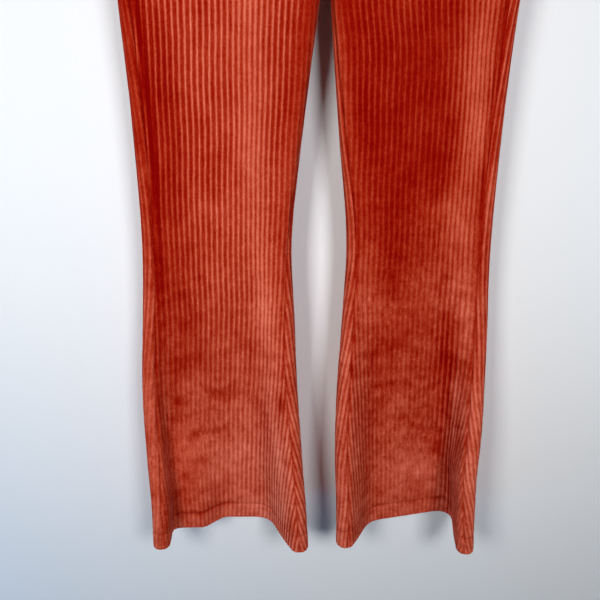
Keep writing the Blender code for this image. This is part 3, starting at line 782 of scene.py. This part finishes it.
def velour_corduroy():
    """Cut-pile velour corduroy, its light and shade painted into its colour: the crowns of the
    wales show as thin pale lines of painted highlight, the pile between them is deep and dark with
    painted shade, and where the pile is laid over by brushing the whole wale shows pale with
    painted sheen."""
    material, tree, shader = new_material("rust velour corduroy")
    cloth = add(tree, "ShaderNodeAttribute", {}, attribute_name="cloth").outputs["Vector"]
    marks = add(tree, "ShaderNodeAttribute", {}, attribute_name="finish_and_painted_light").outputs["Vector"]
    place = add(tree, "ShaderNodeSeparateXYZ", {0: cloth})
    finish_and_painted_light = add(tree, "ShaderNodeSeparateXYZ", {0: marks})
    across, worn = place.outputs[0], place.outputs[2]
    tone, brushed_sheen, crushed = (finish_and_painted_light.outputs[k] for k in (0, 1, 2))

    def math_node(operation, *values):
        return add(tree, "ShaderNodeMath", dict(enumerate(values)), operation=operation).outputs[0]

    def pile_noise(across_mm, down_mm, detail):
        scale = (1 / MM / across_mm, 1 / MM / down_mm, 0)
        where = add(tree, "ShaderNodeVectorMath", {0: cloth, 1: scale}, operation="MULTIPLY")
        noise = {"Vector": where.outputs[0], "Scale": 1.0, "Detail": detail, "Roughness": 0.6}
        return math_node("SUBTRACT", add(tree, "ShaderNodeTexNoise", noise).outputs[0], 0.5)

    waver = pile_noise(9, 16, 1)  # the wales' edges waver
    drift = pile_noise(6, 60, 3)  # wales open and close along their length
    streaks = pile_noise(4, 13, 2)  # tufts that lean together
    tufts = pile_noise(2.0, 3.5, 2)
    grain = pile_noise(0.8, 1.0, 1)  # single tufts, drawn coarser than they are
    smudge = pile_noise(14, 12, 2.2)  # pile pressed sideways in folds
    clouds = pile_noise(45, 60, 2)

    # 1 on a wale's crown and just above 0 in its groove
    wales = math_node("MULTIPLY_ADD", waver, 1.1 * MM, across)
    turn = math_node("MULTIPLY", wales, 2 * math.pi / WALE)
    crown = math_node("MULTIPLY_ADD", math_node("COSINE", turn), 0.4999, 0.5)
    # a power of it is the painted highlight on the crown: narrow, and wider the more the pile is
    # brushed, as painted sheen
    narrow = math_node("MULTIPLY_ADD", brushed_sheen, -2.4, 1.03)
    narrow = math_node("EXPONENT", math_node("MULTIPLY_ADD", drift, 2.6, narrow))
    ribs = math_node("POWER", crown, narrow)
    # crushed pile fades to the mean of a wale's light and dark
    mean = math_node("DIVIDE", 1.0, math_node("MULTIPLY_ADD", narrow, 0.9, 1.0))
    contrast = math_node("SUBTRACT", 1.0, crushed)
    ribs = math_node("MULTIPLY_ADD", math_node("SUBTRACT", ribs, mean), contrast, mean)

    # the pale crowns and dark grooves as painted light and shade, then the tone, which is partly
    # painted light
    light = math_node("MULTIPLY_ADD", ribs, 0.65, 0.21)
    light = math_node("ADD", light, tone)
    for noise, even, by_wear in (
        (smudge, 0.25, 0.36), (streaks, 0.30, 0.50), (tufts, 0.50, 0.05), (drift, 0.40, 0.0),
        (grain, 1.00, 0.0), (clouds, 0.40, 0.40),
    ):
        strength = math_node("MULTIPLY_ADD", worn, by_wear, even)
        light = math_node("MULTIPLY_ADD", noise, strength, light)
    light = math_node("MULTIPLY", light, 0.8)  # leaves room on the ramp for the brightest tufts
    # the rust from its deepest painted shade to its palest painted highlight
    dye_in_painted_light = add(tree, "ShaderNodeValToRGB", {0: light})
    stops = dye_in_painted_light.color_ramp.elements
    for between in (0.2, 0.4, 0.6, 0.8):
        stops.new(between)
    shades = ("#800000", "#9A1202", "#B0341A", "#C9533B", "#E06D54", "#F0876E")
    for stop, shade in zip(stops, shades):
        stop.color = linear(shade)
    tree.links.new(dye_in_painted_light.outputs[0], shader.inputs["Base Color"])

    fuzz = pile_noise(0.5, 0.8, 2)  # single tufts
    bump = add(tree, "ShaderNodeBump", {"Height": fuzz, "Strength": 0.35, "Distance": 0.4 * MM})
    tree.links.new(bump.outputs[0], shader.inputs["Normal"])
    shader.inputs["Roughness"].default_value = 0.95
    shader.inputs["Specular IOR Level"].default_value = 0.03
    shader.inputs["Sheen Weight"].default_value = 0.25
    shader.inputs["Sheen Roughness"].default_value = 0.3
    shader.inputs["Sheen Tint"].default_value = linear("#FFC0A0")
    return material


def corduroy_back():
    """The plain woven back of the corduroy, dull and flat: it shows inside the waist and legs."""
    material, tree, shader = new_material("woven back of corduroy")
    cloth = add(tree, "ShaderNodeAttribute", {}, attribute_name="cloth").outputs["Vector"]
    spacing = (0.8 * MM, 0.6 * MM)  # of warp and weft, drawn coarser than they are
    threads = (2 * math.pi / spacing[0], 2 * math.pi / spacing[1], 0)
    where = add(tree, "ShaderNodeVectorMath", {0: cloth, 1: threads}, operation="MULTIPLY")
    waves = add(tree, "ShaderNodeVectorMath", {0: where.outputs[0]}, operation="SINE")
    warp_weft = add(tree, "ShaderNodeSeparateXYZ", {0: waves.outputs[0]})
    weave = add(
        tree, "ShaderNodeMath", {0: warp_weft.outputs[0], 1: warp_weft.outputs[1]},
        operation="MULTIPLY",
    ).outputs[0]
    share = add(tree, "ShaderNodeMapRange", {"Value": weave, "From Min": -1.0}).outputs[0]
    colour = add(
        tree, "ShaderNodeMix", {0: share, 6: linear("#7E2414"), 7: linear("#A23A26")},
        data_type="RGBA",
    )
    tree.links.new(colour.outputs[2], shader.inputs["Base Color"])
    bump = add(tree, "ShaderNodeBump", {"Height": share, "Strength": 0.4, "Distance": 0.2 * MM})
    tree.links.new(bump.outputs[0], shader.inputs["Normal"])
    shader.inputs["Roughness"].default_value = 0.9
    shader.inputs["Specular IOR Level"].default_value = 0.15
    return material


def sewing_thread():
    """Spun polyester thread in the cloth's own rust, a little darker and smoother than the pile."""
    material, tree, shader = new_material("spun polyester thread")
    place = add(tree, "ShaderNodeTexCoord", {}).outputs["Object"]
    twist = add(
        tree, "ShaderNodeTexWave", {"Vector": place, "Scale": 900.0, "Distortion": 1.0},
        bands_direction="DIAGONAL",
    ).outputs["Fac"]
    colour = add(
        tree, "ShaderNodeMix", {0: twist, 6: linear("#7E1B11"), 7: linear("#AE3424")},
        data_type="RGBA",
    )
    tree.links.new(colour.outputs[2], shader.inputs["Base Color"])
    shader.inputs["Roughness"].default_value = 0.6
    shader.inputs["Specular IOR Level"].default_value = 0.3
    return material


def wall_paint():
    """White wall emulsion, put on with a roller: matt, with a faint stipple. Its back isn't
    painted and lets the light through, so that the garment's back can be seen."""
    material, tree, shader = new_material("white wall emulsion")
    place = add(tree, "ShaderNodeTexCoord", {}).outputs["Object"]
    stipple = add(
        tree, "ShaderNodeTexNoise", {"Vector": place, "Scale": 260.0, "Detail": 3.0}
    ).outputs[0]
    bump = add(tree, "ShaderNodeBump", {"Height": stipple, "Strength": 0.12, "Distance": MM})
    tree.links.new(bump.outputs[0], shader.inputs["Normal"])
    shader.inputs["Base Color"].default_value = linear("#F4F6F8")
    shader.inputs["Roughness"].default_value = 0.75
    shader.inputs["Specular IOR Level"].default_value = 0.25
    rear = add(tree, "ShaderNodeNewGeometry", {}).outputs["Backfacing"]
    clear = add(tree, "ShaderNodeBsdfTransparent", {}).outputs[0]
    both = add(tree, "ShaderNodeMixShader", {0: rear, 1: shader.outputs[0], 2: clear})
    tree.links.new(both.outputs[0], tree.nodes["Material Output"].inputs["Surface"])
    return material


def floor_paint():
    """A plain pale floor paint, matt, so that it only carries the shadows."""
    material, _, shader = new_material("pale matt floor")
    shader.inputs["Base Color"].default_value = linear("#E4E4E2")
    shader.inputs["Roughness"].default_value = 0.8
    return material


def backdrop(name, material, place, turn, half_size):
    """A square plane, turned about the X axis by so many degrees."""
    bm = bmesh.new()
    matrix = Matrix.Translation(place) @ Matrix.Rotation(math.radians(turn), 4, "X")
    bmesh.ops.create_grid(bm, x_segments=1, y_segments=1, size=half_size, matrix=matrix)
    mesh = bpy.data.meshes.new(name)
    bm.to_mesh(mesh)
    bm.free()
    mesh.materials.append(material)
    plane = bpy.data.objects.new(name, mesh)
    bpy.context.scene.collection.objects.link(plane)
    return plane


def softbox(name, place, target, size, power, spread, colour):
    """A square area light aimed at a point. Its spread is in degrees."""
    light = bpy.data.lights.new(name, "AREA")
    light.shape = "SQUARE"
    light.size = size
    light.energy = power
    light.spread = math.radians(spread)
    light.color = linear(colour)[:3]
    lamp = bpy.data.objects.new(name, light)
    lamp.location = place
    lamp.rotation_euler = (Vector(target) - Vector(place)).to_track_quat("-Z", "Y").to_euler()
    bpy.context.scene.collection.objects.link(lamp)
    return light


def pale_world():
    """The little light that comes from all round."""
    world = bpy.data.worlds.new("pale studio")
    world.use_nodes = True
    background = world.node_tree.nodes["Background"]
    background.inputs["Color"].default_value = linear("#F0F2F4")
    background.inputs["Strength"].default_value = 0.05
    bpy.context.scene.world = world


def camera_looking_down(place, tilt):
    """The camera, in front of the thighs and tilted down by so many degrees."""
    data = bpy.data.cameras.new("camera")
    data.lens, data.sensor_width = 39, 36
    camera = bpy.data.objects.new("camera", data)
    camera.location = place
    camera.rotation_euler = (math.radians(90 - tilt), 0, 0)
    bpy.context.scene.collection.objects.link(camera)
    bpy.context.scene.camera = camera


velour, woven_back, thread = velour_corduroy(), corduroy_back(), sewing_thread()
for panel in ("front", "back"):
    cloth_piece(
        f"waistband_{panel}", lambda drop: waistband_curve(panel, drop), waistband_rows(),
        [velour, velour],
    )
for leg in LEGS:
    for panel in ("front", "back"):
        cloth_piece(
            f"{panel}_{leg['name']}", lambda drop: leg_curve(panel, leg, drop), leg_rows(),
            [velour, woven_back],
        )
    hem_stitches(leg, thread)

# The wall is just clear of the garment's furthest point, and the floor is far below the hems
wall = backdrop("wall", wall_paint(), place=(0, 0.062, -0.2), turn=90, half_size=3.0)
wall.visible_shadow = False  # the lamp behind it reaches the garment's back
backdrop("floor", floor_paint(), place=(0, 0, -2.0), turn=0, half_size=4.0)

softbox(
    "left softbox", place=(-0.68, -1.36, 0.00), target=(-0.40, 0.06, -0.57),
    size=0.45, power=5.35, spread=100, colour="#FEFEFC",
)
softbox(
    "right softbox", place=(0.54, -1.52, 0.09), target=(0.32, 0.06, -0.57),
    size=0.45, power=5.5, spread=100, colour="#FAFCFF",
)
softbox(
    "cool fill", place=(-1.3, -0.7, -1.35), target=(-0.8, 0.06, -1.22),
    size=0.5, power=1.6, spread=110, colour="#70BCFF",
)
behind = softbox(
    "behind", place=(0.7, 2.4, 0.3), target=(0, 0, -0.6),
    size=1.6, power=18, spread=120, colour="#FFFFFF",
)
behind.cycles.max_bounces = 0  # it lights the garment's back without a glow on the wall
pale_world()
camera_looking_down(place=(-0.0275, -0.73, -0.3654), tilt=22.9)
bpy.context.scene.view_settings.view_transform = "Standard"
